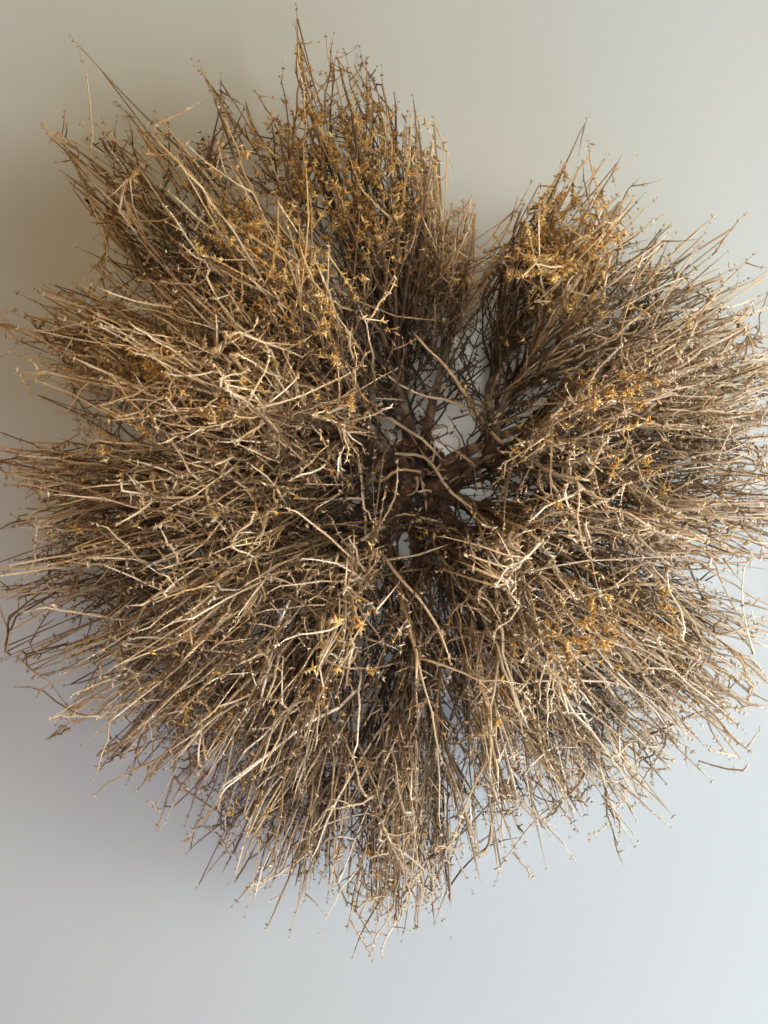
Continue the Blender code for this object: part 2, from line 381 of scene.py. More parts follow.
floor_material, tree, inputs = new_material("pale floor", 0.9)
place = node(tree, "ShaderNodeTexCoord", {}, {}, "Object")
distance = node(tree, "ShaderNodeVectorMath", {"operation": "LENGTH"}, {0: place}, "Value")
begin, end = FLOOR_FADE
far = ((distance - begin) * (1.0 / (end - begin))).clamped()
plug(tree, mixed(tree, far, FLOOR_COLOR, BLACK), inputs["Base Color"])
plug(tree, mixed(tree, far, BLACK, BACKDROP), inputs["Emission Color"])
inputs["Emission Strength"].default_value = 1.0
floor.data.materials.append(floor_material)
print("floor finish, fading from", begin, "to", end, "m")

# %% [markdown]
# ## Crown and limbs
#
# The frame's crown and limbs already have the right shape and place, but coarse faces. Each is
# copied, its loose triangles are merged, and it is subdivided. The bark's furrows are then pressed
# in along the limb. A limb's root is drawn a little way into the wood under it, so that it grows
# out of it with no gap.

# %% Copy and refine a frame solid
MERGE = 0.00001  # corners nearer than this, in metres, become one


def refined_copy(node_name, piece_name, levels, material):
    """A merged, subdivided copy of a frame solid that stands for it."""
    piece = bpy.data.objects.new(piece_name, nodes[node_name].data.copy())
    scene.collection.objects.link(piece)
    bpy.ops.object.select_all(action="DESELECT")
    piece.select_set(True)
    bpy.context.view_layer.objects.active = piece
    bpy.ops.object.mode_set(mode="EDIT")
    bpy.ops.mesh.select_all(action="SELECT")
    bpy.ops.mesh.remove_doubles(threshold=MERGE)
    bpy.ops.mesh.normals_make_consistent(inside=False)
    bpy.ops.mesh.tris_convert_to_quads()
    bpy.ops.object.mode_set(mode="OBJECT")
    smooth = piece.modifiers.new("smooth", "SUBSURF")
    smooth.levels = levels
    smooth.render_levels = levels
    bpy.ops.object.modifier_apply(modifier=smooth.name)
    piece.data.materials.clear()
    piece.data.materials.append(material)
    piece.data.shade_smooth()
    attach(piece, "root")
    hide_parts(node_name)
    return piece


def vertex_arrays(mesh):
    """Places and normals of a mesh's vertices."""
    count = len(mesh.vertices)
    places = np.empty(count * 3)
    normals = np.empty(count * 3)
    mesh.vertices.foreach_get("co", places)
    mesh.vertices.foreach_get("normal", normals)
    return places.reshape(-1, 3), normals.reshape(-1, 3)


def noise_at(points, offset):
    """Smooth noise, from -1 to 1, at each of many points, taken from a place of its own."""
    shift = Vector(offset)
    return np.array([noise.noise(Vector(p) + shift) for p in points])


print("copying and refining are ready")

# %% [markdown]
# The crown is the oldest wood, and years of swelling and rot have left it full of creases and
# hollows. Folded noise, whose zero line makes a sharp valley, gives the creases. How deep a
# point of the surface lies is kept as an attribute, so that painted shade can darken it there,
# black in the hollows and the deepest creases.

# %% Gnarled crown
CREASES = (
    # scale of the noise per metre, depth of its valleys, its place
    (95.0, 0.0046, (5.0, 1.0, 2.0)),
    (240.0, 0.0020, (1.5, 8.0, 3.0)),
    (520.0, 0.0007, (7.0, 2.0, 6.0)),
)
CREASE_SHARPNESS = 3.0  # the valleys take up about this part of the noise
CREASE_DARKNESS = 0.35  # how black the painted shade of the deepest creases is, next to a hollow
HOLLOW_DEPTH = 0.009  # depth below the crown's oval at which the painted shade of a hollow is black
FLAT_HEIGHT = 0.004  # the break under the crown stays flat

crown = refined_copy("root_crown", "crown", 2, crown_material)
places, normals = vertex_arrays(crown.data)
low, high = (np.array(corner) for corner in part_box("root_crown"))
away = places - HEART
distance = np.linalg.norm(away, axis=1)
oval = 1.0 / np.linalg.norm(away / distance[:, None] / ((high - low) / 2), axis=1)
# painted shade: the deeper a point lies below the crown's oval, the darker it is painted
sunk = np.clip((oval - distance) / HOLLOW_DEPTH, 0.0, 1.0)
push = np.zeros(len(places))
for scale, depth, shift in CREASES:
    fold = np.abs(noise_at(places * scale, shift))
    valley = 1.0 - np.minimum(1.0, CREASE_SHARPNESS * fold)
    push -= depth * valley
    sunk += CREASE_DARKNESS * valley * depth / CREASES[0][1]
keep_flat = np.clip(places[:, 2] / FLAT_HEIGHT, 0.0, 1.0)
places += normals * (push * keep_flat)[:, None]
places[:, 2] = np.maximum(places[:, 2], 0.0)
crown.data.vertices.foreach_set("co", places.ravel())
attribute = crown.data.attributes.new("sunk", "FLOAT", "POINT")
attribute.data.foreach_set("value", np.clip(sunk, 0.0, 1.0).astype(np.float32))
crown.data.update()
print("crown:", len(crown.data.polygons), "faces")

# %% Furrowed limbs
FURROW_DEPTH = 0.00045
FURROW_SCALE = 520.0  # across the limb
FURROW_SCALE_ALONG = 60.0  # far lower, so the furrows run along the limb
KNOT_HEIGHT = 0.0007
KNOT_SCALE = 70.0
ROOT_SHARE = 0.14  # part of a limb's length that is its root
ROOT_DEPTH = 0.005  # how far a limb's root reaches into the wood under it
ROOT_FLARE = 0.30  # share by which it widens there

for limb_name in limb_names:
    limb = refined_copy(limb_name, limb_name + "_bark", 1, bark_material)
    spine = spine_of(limb_name, 2)
    along = (spine[-1] - spine[0]) / np.linalg.norm(spine[-1] - spine[0])
    places, normals = vertex_arrays(limb.data)
    run = (places - spine[0]) @ along
    across = places - spine[0] - run[:, None] * along
    stretched = across * FURROW_SCALE + (run * FURROW_SCALE_ALONG)[:, None] * along
    furrows = noise_at(stretched, (2.0, 7.0, 1.0))
    knots = noise_at(places * KNOT_SCALE, (4.0, 4.0, 9.0))
    places += normals * (furrows * FURROW_DEPTH + knots * KNOT_HEIGHT)[:, None]
    share = run / np.ptp(run)
    near_root = np.clip(1.0 - share / ROOT_SHARE, 0.0, 1.0)[:, None]
    places += near_root * (across * ROOT_FLARE - along * ROOT_DEPTH)
    limb.data.vertices.foreach_set("co", places.ravel())
    attribute = limb.data.attributes.new("root", "FLOAT", "POINT")
    rooted = np.clip(1.0 - share / (2.0 * ROOT_SHARE), 0.0, 1.0)
    attribute.data.foreach_set("value", rooted.astype(np.float32))
    limb.data.update()
print(len(limb_names), "limbs of", len(limb.data.polygons), "faces")

# %% [markdown]
# ## Bracts and withered flower
#
# Three small shapes repeat thousands of times, so each is modelled once, from a few three-sided
# cones. A pair of opposite bracts is one slim double point across its twig. The end of a twig has a
# tuft of three bracts, and what is left of a flower is a wider tuft of three.

# %% Model the small shapes
SPIKE_SHRINK = 0.2  # each spike of a tuft is this share smaller than the one before


def spike(length, width, base, **placed):
    """A slim three-sided cone, with its base closed or open."""
    bpy.ops.mesh.primitive_cone_add(
        vertices=3, radius1=width, radius2=0.0, depth=length, end_fill_type=base, **placed
    )
    return bpy.context.object


def apply_turn(turn):
    """Turns the selected object and keeps the turn in its mesh."""
    bpy.ops.object.transform_apply(location=True, rotation=True, scale=True)
    bpy.context.object.rotation_euler = turn
    bpy.ops.object.transform_apply(location=True, rotation=True, scale=True)


def join(parts):
    """Joins the parts into one object."""
    for part in parts:
        part.select_set(True)
    bpy.context.view_layer.objects.active = parts[0]
    bpy.ops.object.join()


def take_mesh():
    """The points and faces of the active object, which is then removed."""
    made = bpy.context.object
    points = np.array([v.co for v in made.data.vertices])
    faces = np.array([p.vertices for p in made.data.polygons])
    bpy.data.objects.remove(made)
    return points, faces


def tuft(count, length, width, lean):
    """Spikes from one foot, leaning outwards all round. Returns their points and faces."""
    bpy.ops.object.select_all(action="DESELECT")
    spikes = []
    for k in range(count):
        size = 1.0 - SPIKE_SHRINK * (k % 3)
        middle = (0.0, 0.0, length * size / 2)
        spikes.append(spike(length * size, width * size, "NGON", location=middle))
        apply_turn((0.0, lean, 2.0 * math.pi * k / count))
    join(spikes)
    return take_mesh()


def spindle(length, width):
    """A pair of opposite bracts: one slim double point that lies across its twig."""
    bpy.ops.object.select_all(action="DESELECT")
    up = spike(length, width, "NOTHING", location=(0.0, 0.0, length / 2))
    down = spike(
        length, width, "NOTHING", location=(0.0, 0.0, -length / 2), rotation=(0.0, math.pi, 0.0)
    )
    join((up, down))
    bpy.ops.object.mode_set(mode="EDIT")
    bpy.ops.mesh.select_all(action="SELECT")
    bpy.ops.mesh.remove_doubles(threshold=MERGE)
    bpy.ops.object.mode_set(mode="OBJECT")
    apply_turn((0.0, math.pi / 2, 0.0))
    return take_mesh()


BRACTS = spindle(0.0023, 0.00070)
END_BRACTS = tuft(3, 0.0029, 0.00070, 0.70)
FLOWER = tuft(3, 0.0042, 0.00100, 0.95)
for title, shape in (("bracts", BRACTS), ("end bracts", END_BRACTS), ("flower", FLOWER)):
    print(title, "have", len(shape[1]), "faces")

# %% [markdown]
# ## Many twigs at once
#
# A twig is a tapered three-sided tube swept along a path, closed at its base and drawn to a point.
# All the twigs of a spray are swept together as arrays, which takes a blink, where one object for
# each twig would take minutes. The small shapes are stamped on the twigs in the same way. A
# `Batch` collects all that is swept and stamped, and makes one mesh of it.

# %% Sweeping and stamping as arrays
rng = np.random.default_rng(4)
CHART_STRIP = 0.012  # width on the chart of one twig
STAMP_RISE = 0.02  # height on the chart of a stamped shape
TWIG_TOP = 0.80  # age and painted shade on the chart of the outermost twig tips
FLOWER_AGE = 0.90
# turned and shifted by these, a direction gives another that doesn't lie along it
TUBE_SHIFT = 0.31
STAMP_SHIFT = 0.37


def unit(vectors):
    """The same directions with length 1."""
    return vectors / np.maximum(np.linalg.norm(vectors, axis=-1, keepdims=True), 1e-12)


def tube_pattern(length, sides):
    """The faces of one tube of rings drawn to a point, with each corner's ring and column."""
    faces = []
    for i in range(length - 2):
        for k in range(sides):
            near, far = (i, k), (i, k + 1)
            beyond, above = (i + 1, k + 1), (i + 1, k)
            faces += [(near, far, beyond), (near, beyond, above)]
    last = length - 2
    for k in range(sides):
        faces.append(((last, k), (last, k + 1), (last + 1, k + 0.5)))
    for k in range(1, sides - 1):
        faces.append(((0, 0), (0, k + 1), (0, k)))
    faces = np.array(faces)
    rows = faces[..., 0].astype(int)
    columns = faces[..., 1]
    corners = rows * sides + np.where(rows == length - 1, 0, columns.astype(int) % sides)
    return corners, rows, columns


class Batch:
    """Collects the points, faces and chart places of many small shapes for one mesh."""

    def __init__(self):
        self.points = []
        self.faces = []
        self.charts = []
        self.slots = []
        self.count = 0

    def add(self, points, faces, chart, slot):
        self.points.append(points.reshape(-1, 3))
        self.faces.append(faces.reshape(-1, 3) + self.count)
        self.charts.append(chart.reshape(-1, 2))
        self.slots.append(np.full(len(self.faces[-1]), slot))
        self.count += len(self.points[-1])

    def sweep(self, paths, radii, ages_and_shade, tones, sides=3):
        """Tapered tubes along paths of shape (tubes, points, 3), each drawn to a point."""
        tubes, length, _ = paths.shape
        tangent = unit(np.gradient(paths, axis=1))
        guide = unit(np.cross(tangent[:, :1], tangent[:, :1, [1, 2, 0]] + TUBE_SHIFT))
        across = unit(guide - tangent * (guide * tangent).sum(2, keepdims=True))
        up = np.cross(tangent, across)
        turn = 2.0 * np.pi * np.arange(sides)[:, None] / sides
        ring = across[:, :, None] * np.cos(turn) + up[:, :, None] * np.sin(turn)
        rings = paths[:, :, None] + ring * radii[:, :, None, None]
        points = np.concatenate([rings[:, :-1].reshape(tubes, -1, 3), paths[:, -1:]], axis=1)
        corners, rows, columns = tube_pattern(length, sides)
        faces = corners[None] + (np.arange(tubes) * points.shape[1])[:, None, None]
        chart = np.empty((*faces.shape, 2))
        chart[..., 0] = tones[:, None, None] + columns / sides * CHART_STRIP
        chart[..., 1] = ages_and_shade[:, rows]
        self.add(points, faces, chart, 0)

    def stamp(self, shape, places, directions, sizes, ages_and_shade, tones, slot=0):
        """Copies of a small shape, each standing along its own direction."""
        shape_points, shape_faces = shape
        rolls = rng.uniform(0.0, 2.0 * np.pi, (len(places), 1))
        side = unit(np.cross(directions, directions[:, [1, 2, 0]] + STAMP_SHIFT))
        turned = side * np.cos(rolls) + np.cross(directions, side) * np.sin(rolls)
        other = np.cross(directions, turned)
        local = shape_points * sizes[:, None, None]
        points = (
            places[:, None]
            + turned[:, None] * local[..., 0:1]
            + other[:, None] * local[..., 1:2]
            + directions[:, None] * local[..., 2:3]
        )
        points[..., 2] = np.maximum(points[..., 2], 0.0)
        faces = shape_faces + (np.arange(len(places)) * len(shape_points))[:, None, None]
        chart = np.empty((*faces.shape, 2))
        chart[..., 0] = tones[:, None, None] + np.array((0.0, 1.0, 0.5)) * CHART_STRIP
        chart[..., 1] = ages_and_shade[:, None, None] + np.array((0.0, 0.0, STAMP_RISE))
        self.add(points, faces, chart, slot)

    def mesh(self, name):
        """The finished mesh, with its chart."""
        points = np.concatenate(self.points)
        faces = np.concatenate(self.faces)
        made = bpy.data.meshes.new(name)
        made.vertices.add(len(points))
        made.vertices.foreach_set("co", points.ravel())
        made.loops.add(faces.size)
        made.loops.foreach_set("vertex_index", faces.ravel())
        made.polygons.add(len(faces))
        made.polygons.foreach_set("loop_start", np.arange(len(faces)) * 3)
        made.polygons.foreach_set("material_index", np.concatenate(self.slots))
        made.materials.append(twig_material)
        made.materials.append(flower_material)
        made.update(calc_edges=True)
        layer = made.uv_layers.new(name=CHART)
        layer.uv.foreach_set("vector", np.concatenate(self.charts).ravel())
        made.shade_smooth()
        return made


print("sweeping and stamping are ready")

# %% [markdown]
# ## How far the twigs reach
#
# The far ends of the spray solids mark the outside of the bush. Between them the reach is an
# average of the sprays nearby, weighted by how close their headings are, so the outside is one
# smooth dome. Smaller lobes and dips are added to it by bearing. A deep notch splits the bush where
# its one stray sprig stands.

# %% The outside of the bush
REACH_BLUR = math.radians(10.0)
NOTCH_HALF_WIDTHS = (math.radians(18.0), math.radians(9.0))  # to its left and to its right
NOTCH_FLATNESS = 1.7  # above 1, the bottom of the notch is flat
NOTCH_DEPTH = 0.55  # share of the reach that is missing in the middle of the notch
NOTCH_TOP = math.radians(62.0)  # the notch fades out by this elevation
LOBES = (
    # bearing and half width in degrees, and the change of the reach there, at the ground
    (129.0, 7.0, 0.05),
    (114.0, 6.0, -0.04),
    (147.0, 6.5, -0.11),
    (192.0, 5.0, 0.07),
    (205.0, 5.0, 0.07),
    (231.0, 6.0, -0.09),
    (241.0, 4.0, 0.05),
    (286.0, 7.0, -0.05),
    (309.0, 6.0, -0.05),
    (325.0, 5.0, 0.05),
)
TOP_MARGIN = 0.006  # the tallest twigs stand this far over the sprays' solids

sprays = []
for spray_name in spray_names:
    corners = corner_points(spray_name)
    away = corners - HEART
    distance = np.linalg.norm(away, axis=1)
    heading = unit(corners[distance.argmax()] - HEART)
    outer = distance > distance.min() + 0.5 * np.ptp(distance)
    width = np.arccos(np.clip(unit(away[outer]) @ heading, -1.0, 1.0)).max()
    sprays.append(
        SimpleNamespace(
            name=spray_name,
            limb=spine_of(spray_name.replace("spray_", "limb_"), 8),
            heading=heading,
            reach=distance.max(),
            width=width,
        )
    )
sprig = next(s for s in sprays if s.name == "spray_sprig")
full_sprays = [s for s in sprays if s is not sprig]
full_headings = np.array([s.heading for s in full_sprays])
full_reaches = np.array([s.reach for s in full_sprays])
NOTCH_BEARING = math.atan2(sprig.heading[1], sprig.heading[0])


def reach_of(headings):
    """Distance from the heart to the outside of the bush along each heading."""
    apart = np.arccos(np.clip(headings @ full_headings.T, -1.0, 1.0))
    weight = np.exp(-((apart / REACH_BLUR) ** 2)) + 1e-9
    reach = (weight * full_reaches).sum(-1) / weight.sum(-1)
    bearing = np.arctan2(headings[..., 1], headings[..., 0])
    rise = np.arcsin(np.clip(headings[..., 2], -1.0, 1.0))
    aside = bearing - NOTCH_BEARING
    aside = np.where(aside > 0.0, aside / NOTCH_HALF_WIDTHS[0], -aside / NOTCH_HALF_WIDTHS[1])
    notch = np.clip(NOTCH_FLATNESS * (1.0 - aside), 0.0, 1.0)
    notch = notch * np.clip(1.0 - rise / NOTCH_TOP, 0.0, 1.0)
    for middle, width, change in LOBES:
        turn = np.mod(np.degrees(bearing) - middle + 180.0, 360.0) - 180.0
        reach = reach * (1.0 + change * np.cos(rise) * np.exp(-((turn / width) ** 2)))
    return reach * (1.0 - NOTCH_DEPTH * notch)


print("the bush reaches", full_reaches.min().round(3), "to", full_reaches.max().round(3), "m")

# %% [markdown]
# ## Growing a spray
#
# A spray grows in four orders, as on the plant. Stems leave the end of the limb and part from
# each other. Branches leave the stems and bend outwards, shoots leave the branches, and short
# twiglets leave them all. Every node has a pair of bracts, and the bush's golden flowers hang on
# in patches.

# %% Places and directions
FLOOR_CLEARANCE = 0.0012
WINDOW_RADIUS = 0.021  # few twigs stand right over the crown
WINDOW_RISE = (0.05, 0.10)  # heights at which that opening begins and is full
TALLEST = cad_box[1][2] + TOP_MARGIN


def at_share(paths, which, share):
    """Points and tangents at a share of the way along chosen paths."""
    steps = paths.shape[1] - 1
    place = np.clip(share * steps, 0.0, steps - 1e-6)
    low = place.astype(int)
    first = paths[which, low]
    second = paths[which, low + 1]
    return first + (second - first) * (place - low)[:, None], unit(second - first)


def off_axis(directions, angles):
    """Each direction leaned by its angle towards a random side."""
    side = unit(np.cross(directions, rng.normal(size=directions.shape)))
    return directions * np.cos(angles)[:, None] + side * np.sin(angles)[:, None]


def hermite(start, start_pull, end, end_pull, count):
    """Smooth paths from start to end points, leaving and arriving along the pulls."""
    t = np.linspace(0.0, 1.0, count)[None, :, None]
    return (
        (2 * t**3 - 3 * t**2 + 1) * start[:, None]
        + (t**3 - 2 * t**2 + t) * start_pull[:, None]
        + (3 * t**2 - 2 * t**3) * end[:, None]
        + (t**3 - t**2) * end_pull[:, None]
    )


def settled(paths, step, zigzag):
    """Paths that wander a little and turn at every node, off the floor and off the crown."""
    count = paths.shape[1]
    walk = np.cumsum(rng.normal(size=paths.shape) * step, axis=1)
    share = np.linspace(0.0, 1.0, count)[None, :, None]
    walk = walk - walk[:, :1] * (1.0 - share) - walk[:, -1:] * share
    side = unit(rng.normal(size=(len(paths), 1, 3)))
    turns = side * zigzag * np.where(np.arange(count) % 2, 1.0, -1.0)[None, :, None]
    turns[:, 0] = 0.0
    moved = paths + walk + turns
    low, high = WINDOW_RISE
    open_part = np.clip((moved[..., 2] - low) / (high - low), 0.0, 1.0)
    aside = np.linalg.norm(moved[..., :2], axis=-1) + 1e-9
    opening = WINDOW_RADIUS * rng.uniform(0.0, 1.0, (len(paths), 1)) ** 0.5
    pushed = np.sqrt(aside**2 + open_part * opening**2)
    moved[..., :2] *= (pushed / aside)[..., None]
    moved[..., 2] = np.clip(moved[..., 2], FLOOR_CLEARANCE, TALLEST)
    return moved


def outward(points):
    """Directions away from the heart of the bush."""
    return unit(points - HEART)


def reined(points, limit):
    """Points drawn in to the outside of the bush, times a limit of their own."""
    away = points - HEART
    distance = np.linalg.norm(away, axis=1)
    most = reach_of(unit(away)) * limit
    return HEART + away * np.minimum(1.0, most / distance)[:, None]


print("directions and paths are ready")

# %% Colour of a twig by its place
BLOOMS = (
    # bearing, elevation, share of the reach, spread in metres of a patch that kept its flowers
    (106, 20, 0.75, 0.040),
    (111, 42, 0.84, 0.032),
    (101, 40, 0.86, 0.028),
    (124, 47, 0.86, 0.026),
    (118, 60, 0.88, 0.024),
    (134, 63, 0.90, 0.018),
    (98, 64, 0.88, 0.014),
    (130, 33, 0.86, 0.022),
    (158, 44, 0.86, 0.018),
    (172, 46, 0.88, 0.013),
    (187, 36, 0.86, 0.014),
    (180, 72, 0.90, 0.012),
    (162, 60, 0.90, 0.012),
    (130, 73, 0.88, 0.013),
    (61, 30, 0.78, 0.034),
    (62, 46, 0.86, 0.026),
    (54, 52, 0.86, 0.020),
    (44, 50, 0.88, 0.016),
    (18, 61, 0.90, 0.018),
    (27, 67, 0.90, 0.013),
    (4, 66, 0.90, 0.012),
    (358, 57, 0.90, 0.011),
    (316, 59, 0.90, 0.018),
    (329, 54, 0.90, 0.011),
    (346, 77, 0.90, 0.010),
    (250, 63, 0.92, 0.016),
    (247, 70, 0.92, 0.012),
    (230, 41, 0.90, 0.013),
    (242, 36, 0.88, 0.013),
    (267, 34, 0.90, 0.011),
    (214, 49, 0.90, 0.010),
)
WARM_MIDDLE = 0.40  # tone half way round, between the warm +Y side and the pale -Y side
WARM_SLOPE = 1.0  # warmer per metre towards +Y: golden twigs, partly painted warm room light
COOL_SLOPE = 0.8  # cooler per metre towards +X: partly painted cool window light
BLOOM_WARMTH = 0.3
GROUND_SHADE_WARMTH = 0.25  # twigs at the ground are this much warmer: painted warm shade
TONE_SCATTER = 0.22
TONE_LIMITS = (0.02, 0.96)
AGE_AND_SHADE_LIMITS = (0.02, 1.0)
BLEACH_RANGE = (0.55, 1.42)
HEART_SHADE_POWER = 1.6  # above 1, the dark heart, partly painted shade, spreads further out
GROUND_SHADE_SHARE = 0.64  # brightness kept at the ground: painted shade, partly less bleaching
GROUND_SHADE_HEIGHT = 0.13  # from this height up, no painted ground shade and fully bleached
WINDOW_SIDE_LIGHT = 0.8  # paler per metre towards +X, the window lamp's side: painted light


def heading_of(bearing, elevation):
    """The direction with a bearing from +X and an elevation, both in degrees."""
    turn = math.radians(bearing)
    rise = math.radians(elevation)
    flat = math.cos(rise)
    return np.array((flat * math.cos(turn), flat * math.sin(turn), math.sin(rise)))


bloom_headings = np.array([heading_of(bearing, rise) for bearing, rise, _, _ in BLOOMS])
bloom_shares = np.array([bloom[2] for bloom in BLOOMS])
bloom_spreads = np.array([bloom[3] for bloom in BLOOMS])
bloom_places = HEART + bloom_headings * (reach_of(bloom_headings) * bloom_shares)[:, None]


def bloom_at(points):
    """How much of the flowers has stayed on, about 1 in the middle of a patch."""
    apart = np.linalg.norm(points[:, None] - bloom_places[None], axis=2)
    return np.exp(-((apart / bloom_spreads) ** 2)).sum(1)


def age_and_shade_of(points, bleach=1.0):
    """Dark near the heart, partly dirt and partly painted shade; bleached at the outside."""
    away = points - HEART
    # a low share of the reach is dark: partly dirt, partly painted shade near the heart
    share = np.linalg.norm(away, axis=-1) / reach_of(unit(away))
    # painted shade, with less sun bleaching, darkens the twigs near the ground
    light = GROUND_SHADE_SHARE + (1.0 - GROUND_SHADE_SHARE) * np.clip(points[..., 2] / GROUND_SHADE_HEIGHT, 0.0, 1.0)
    # painted light: paler towards +X, where the window lamp stands
    light = light * (1.0 + WINDOW_SIDE_LIGHT * np.maximum(points[..., 0], 0.0))
    return np.clip(share**HEART_SHADE_POWER * light * bleach, *AGE_AND_SHADE_LIMITS) * TWIG_TOP


def bleach_of(count):
    """A share by which each twig is paler or darker than its neighbours."""
    return rng.uniform(*BLEACH_RANGE, (count, 1))


def tone_of(points):
    """Golden brown towards +Y and in the flower patches, greyish cream towards -Y, by chance;
    partly painted tint of the warm room lamp at -X and +Y and the cool window lamp at +X.
    """
    warmth = WARM_MIDDLE + WARM_SLOPE * points[:, 1] - COOL_SLOPE * points[:, 0]
    warmth += BLOOM_WARMTH * bloom_at(points)
    # painted warm shade makes the twigs near the ground browner
    warmth += GROUND_SHADE_WARMTH * (1.0 - np.clip(points[:, 2] / GROUND_SHADE_HEIGHT, 0.0, 1.0))
    return np.clip(warmth + rng.normal(size=len(points)) * TONE_SCATTER, *TONE_LIMITS)


print(len(BLOOMS), "patches of flowers")

# %% Growing twigs, bracts and flowers
BLUNT = 0.985  # share of the taper that is reached one ring before the point
THICKNESS_RANGE = (0.8, 1.2)
LAST_PLACE = 0.96  # share of a twig's length after which nothing leaves it
LEAVING_PULL = 0.3  # how much a twig turns outwards where it leaves
REIN = (1.06, 0.40)  # the furthest reach of a twig's end, and how much of it chance takes off
ZIGZAG = 0.7  # its turns at the nodes, next to its wander
STRAY_FLOWERS = 0.012  # chance that a flower stayed outside the patches
KEPT_FLOWERS = 1.5  # above 1, a patch is full for some way around its middle
END_SINK = 0.0012  # the bracts at a tip stand this far behind its point


def tapered(count, rings, thick, thin):
    """Radii of twigs at their rings, each by chance a bit thicker or thinner than the rest."""
    shares = np.append(np.linspace(0.0, 1.0, rings - 1), 1.0)
    shares[-2] = BLUNT
    taper = thin + (thick - thin) * (1.0 - shares)[None]
    return taper * rng.uniform(*THICKNESS_RANGE, (count, 1))


def side_twigs(batch, paths, count, kind, first=0.1):
    """Twigs that leave other twigs at random places and bend outwards. Returns their paths."""
    parents = rng.integers(0, len(paths), count)
    starts, run = at_share(paths, parents, rng.uniform(first, LAST_PLACE, count))
    leave = unit(run + outward(starts) * LEAVING_PULL)
    lean = off_axis(leave, rng.uniform(*kind.angles, count))
    toward = unit(lean + outward(starts) * kind.outward)
    length = rng.uniform(*kind.lengths, count)[:, None]
    limit = REIN[0] - REIN[1] * rng.uniform(0.0, 1.0, count)
    ends = reined(starts + toward * length, limit)
    length = np.linalg.norm(ends - starts, axis=1)[:, None]
    arrive = unit(toward + outward(starts) * kind.outward)
    made = hermite(starts, lean * length, ends, arrive * length, kind.rings)
    made = settled(made, kind.wander, kind.wander * ZIGZAG)
    radii = tapered(count, kind.rings, *kind.radii)
    batch.sweep(made, radii, age_and_shade_of(made, bleach_of(count)), tone_of(ends))
    return made


BRANCH = SimpleNamespace(
    lengths=(0.07, 0.18), angles=(0.2, 0.65), outward=0.65, rings=10, radii=(0.00102, 0.00048),
    wander=0.0008,
)
INNER = SimpleNamespace(
    lengths=(0.03, 0.10), angles=(0.4, 1.2), outward=0.35, rings=10, radii=(0.00100, 0.00045),
    wander=0.0012,
)
SHOOT = SimpleNamespace(
    lengths=(0.030, 0.090), angles=(0.25, 0.75), outward=0.42, rings=6, radii=(0.00074, 0.00044),
    wander=0.0006,
)
TWIGLET = SimpleNamespace(
    lengths=(0.006, 0.024), angles=(0.5, 1.2), outward=0.2, rings=3, radii=(0.00054, 0.00040),
    wander=0.0004,
)


def add_nodes(batch, paths, per_twig, first):
    """A pair of bracts at evenly spaced nodes of every twig."""
    which = np.repeat(np.arange(len(paths)), per_twig)
    places = np.tile((np.arange(per_twig) + 0.5) / per_twig, len(paths))
    places = first + (1.0 - first) * (places + rng.uniform(-0.3, 0.3, len(which)) / per_twig)
    spots, run = at_share(paths, which, np.clip(places, 0.0, 0.99))
    ages_and_shade = np.minimum(age_and_shade_of(spots) * rng.uniform(0.8, 1.1, len(which)), TWIG_TOP)
    batch.stamp(BRACTS, spots, run, rng.uniform(0.6, 1.25, len(which)), ages_and_shade, tone_of(spots))


def add_ends(batch, paths):
    """Bracts at the tip of every twig."""
    ends = paths[:, -1]
    run = unit(paths[:, -1] - paths[:, 0])
    sizes = rng.uniform(0.5, 1.0, len(ends))
    batch.stamp(END_BRACTS, ends - run * END_SINK, run, sizes, age_and_shade_of(ends), tone_of(ends))


def add_flowers(batch, paths, tries):
    """Flowers on the twigs that stand in a patch that kept them."""
    which = rng.integers(0, len(paths), tries)
    spots, run = at_share(paths, which, rng.uniform(0.2, 1.0, tries))
    stay = rng.uniform(0.0, 1.0, tries) < STRAY_FLOWERS + KEPT_FLOWERS * bloom_at(spots)
    spots, run = spots[stay], run[stay]
    count = len(spots)
    if count:
        lean = off_axis(run, rng.uniform(0.3, 1.2, count))
        ages_and_shade = np.full(count, FLOWER_AGE)
        sizes = rng.uniform(0.55, 1.25, count)
        batch.stamp(FLOWER, spots, lean, sizes, ages_and_shade, rng.uniform(0.0, 0.95, count), slot=1)


print("twigs, bracts and flowers are ready to grow")

# %% [markdown]
# ## Whole sprays
#
# The golden sprays towards +Y have fewer shoots but many more of the short twiglets, which hold
# the flowers. The sprays towards +X are the thinnest. The stray sprig is the same plant on a small
# scale: one stem and a few twigs.

# %% Grow the sprays
SPREAD = (1.5, 1.75)  # how far the twigs of neighbouring sprays mingle, on plain and golden sides
STEM_RINGS = 12
STEM_RADII = (0.0017, 0.00060)
STEM_STARTS = (0.55, 0.93)  # shares of the limb between which the stems leave it
STEM_REACH = (0.74, 1.0)  # shares of the way to the outside between which they end
STEM_PULL = 0.8  # how strongly they leave and arrive along their headings
STEMS = 6
BRANCHES = 30
INNER_TWIGS = 8
SHOOTS = (185, 155)  # on plain and golden sprays
TWIGLETS = (410, 710)
FLOWER_TRIES = 4200
GOLDEN_FROM, GOLDEN_SPAN = 0.2, 0.4  # a spray turns golden as its heading's y passes these
THIN_HEADING = 0.8  # at this x of its heading a spray is thinnest
THINNING = (0.22, 0.28)  # shares of shoots and twiglets that are missing there


